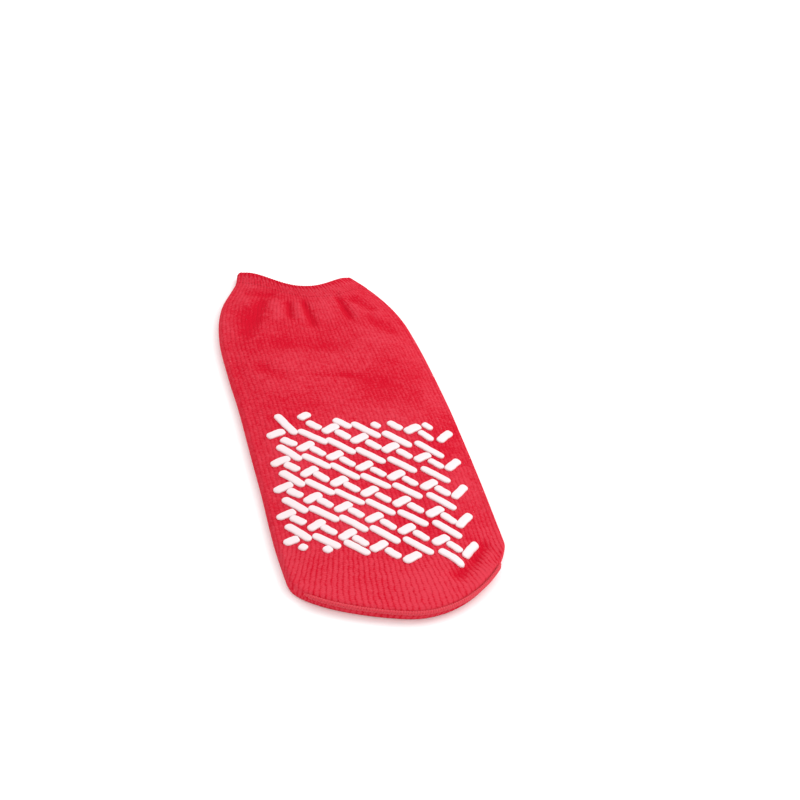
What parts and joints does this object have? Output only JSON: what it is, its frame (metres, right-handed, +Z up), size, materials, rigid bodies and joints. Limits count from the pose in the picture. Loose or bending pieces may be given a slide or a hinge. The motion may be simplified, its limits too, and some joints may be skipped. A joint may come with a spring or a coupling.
{
  "type": "slipper sock",
  "caption": "Low knitted slipper sock with a ribbed cuff and raised zigzag grip marks on its sole, lying empty and flat with the sole up.",
  "frame": {"origin": "on the floor under the middle of the sock's box, on the flat instep layer that it rests on", "axes": "+Y along the foot from toe to cuff, +Z up from the floor to the printed sole layer, +X to the right when seen from above with the toe towards the viewer"},
  "size_m": [0.1058, 0.2666, 0.0106],
  "materials": {
    "red_terry_knit": "soft matte terry knit",
    "red_elastic_rib": "matte ribbed knit with elastic",
    "red_linking_thread": "matte linked thread",
    "white_grip_print": "satin printed grip"
  },
  "bodies": {
    "root": {"elastic_welt": "red_elastic_rib", "knit_foot": "red_terry_knit", "toe_seam": "red_linking_thread", "tread_bar_1_6": "white_grip_print", "tread_bar_2_3": "white_grip_print", "tread_bar_2_4": "white_grip_print", "tread_bar_2_5": "white_grip_print", "tread_bar_2_6": "white_grip_print", "tread_bar_3_1": "white_grip_print", "tread_bar_3_2": "white_grip_print", "tread_bar_3_3": "white_grip_print", "tread_bar_3_4": "white_grip_print", "tread_bar_3_5": "white_grip_print", "tread_bar_3_6": "white_grip_print", "tread_bar_4_1": "white_grip_print", "tread_bar_4_2": "white_grip_print", "tread_bar_4_3": "white_grip_print", "tread_bar_4_4": "white_grip_print", "tread_bar_4_5": "white_grip_print", "tread_bar_4_6": "white_grip_print", "tread_bar_5_1": "white_grip_print", "tread_bar_5_2": "white_grip_print", "tread_bar_5_3": "white_grip_print", "tread_bar_5_4": "white_grip_print", "tread_bar_5_5": "white_grip_print", "tread_bar_5_6": "white_grip_print", "tread_bar_6_1": "white_grip_print", "tread_bar_6_2": "white_grip_print", "tread_bar_6_3": "white_grip_print", "tread_bar_6_4": "white_grip_print", "tread_bar_6_5": "white_grip_print", "tread_bar_6_6": "white_grip_print", "tread_bar_7_1": "white_grip_print", "tread_bar_7_2": "white_grip_print", "tread_bar_7_3": "white_grip_print", "tread_zigzag_1_1": "white_grip_print", "tread_zigzag_2_1": "white_grip_print", "tread_zigzag_3_1": "white_grip_print", "tread_zigzag_4_1": "white_grip_print", "tread_zigzag_5_1": "white_grip_print", "tread_zigzag_6_1": "white_grip_print", "tread_zigzag_7_1": "white_grip_print"}
  },
  "joints": []
}
